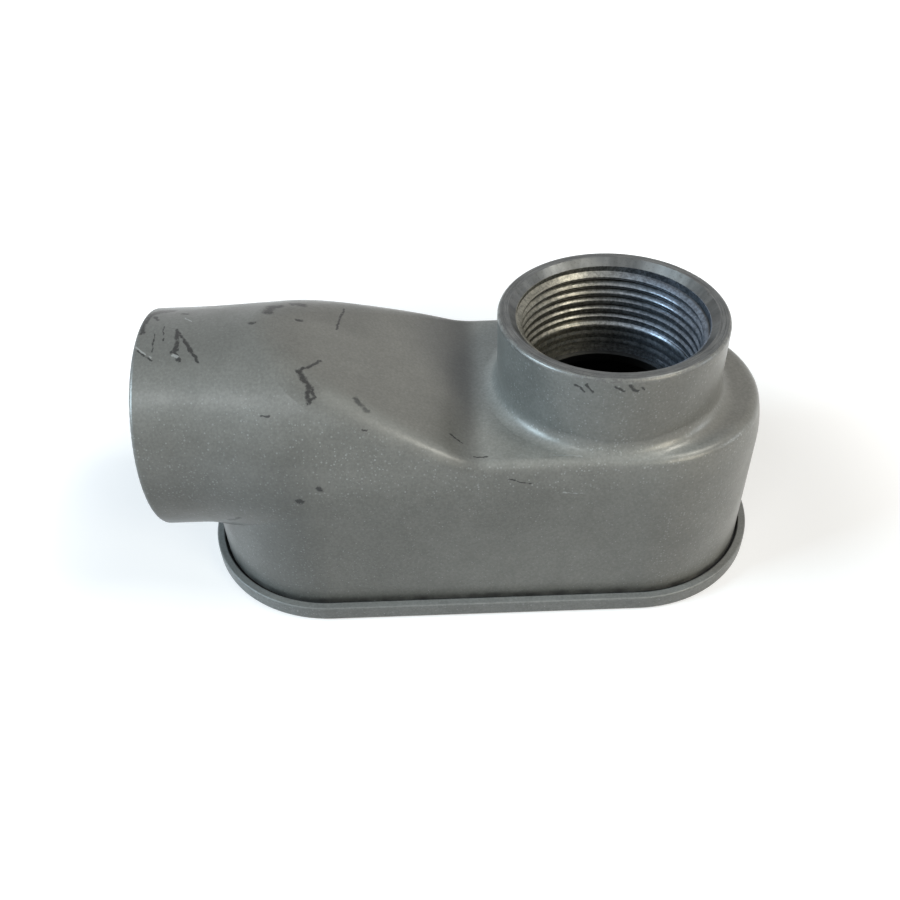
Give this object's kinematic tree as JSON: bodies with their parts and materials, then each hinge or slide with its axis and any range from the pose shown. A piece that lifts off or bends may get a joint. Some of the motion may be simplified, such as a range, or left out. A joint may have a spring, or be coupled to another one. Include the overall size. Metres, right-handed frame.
{
  "type": "conduit body",
  "caption": "Cast conduit elbow with a hub at one end, a hub on its back and a screwed access cover, for turning a threaded conduit run.",
  "frame": {"origin": "where the back hub's axis meets the underside of the cover", "axes": "+X from the end hub towards the far end of the body, +Z out of the back hub, +Y across the body; the part rests on its cover as pictured"},
  "size_m": [0.1405, 0.063, 0.0633],
  "materials": {
    "painted_casting": "cast aluminium under grey paint with fine bright flecks, scuffed on its edges",
    "painted_cover": "grey paint, slightly rough",
    "gasket_rubber": "black sheet rubber",
    "screw_steel": "bright stainless steel"
  },
  "bodies": {
    "housing": {"housing": "painted_casting"},
    "cover": {"cover": "painted_cover", "gasket": "gasket_rubber"},
    "screw_left": {"cover_screw_left": "screw_steel"},
    "screw_right": {"cover_screw_right": "screw_steel"}
  },
  "joints": [
    {"name": "cover_lift", "type": "slide", "parent": "housing", "child": "cover", "axis": [0, 0, -1], "range_m": [0, 0.0078]},
    {"name": "screw_left_turn", "type": "hinge", "parent": "cover", "child": "screw_left", "pos_m": [-0.0874, 0, 0], "axis": [0, 0, -1], "range_deg": [0, 3540]},
    {"name": "screw_right_turn", "type": "hinge", "parent": "cover", "child": "screw_right", "pos_m": [0.0285, 0, 0], "axis": [0, 0, -1], "range_deg": [0, 3540]}
  ],
  "couplings": [
    {"joint": "screw_left_turn", "follows": "cover_lift", "rad_per_m": 7915.8},
    {"joint": "screw_right_turn", "follows": "cover_lift", "rad_per_m": 7915.8}
  ]
}
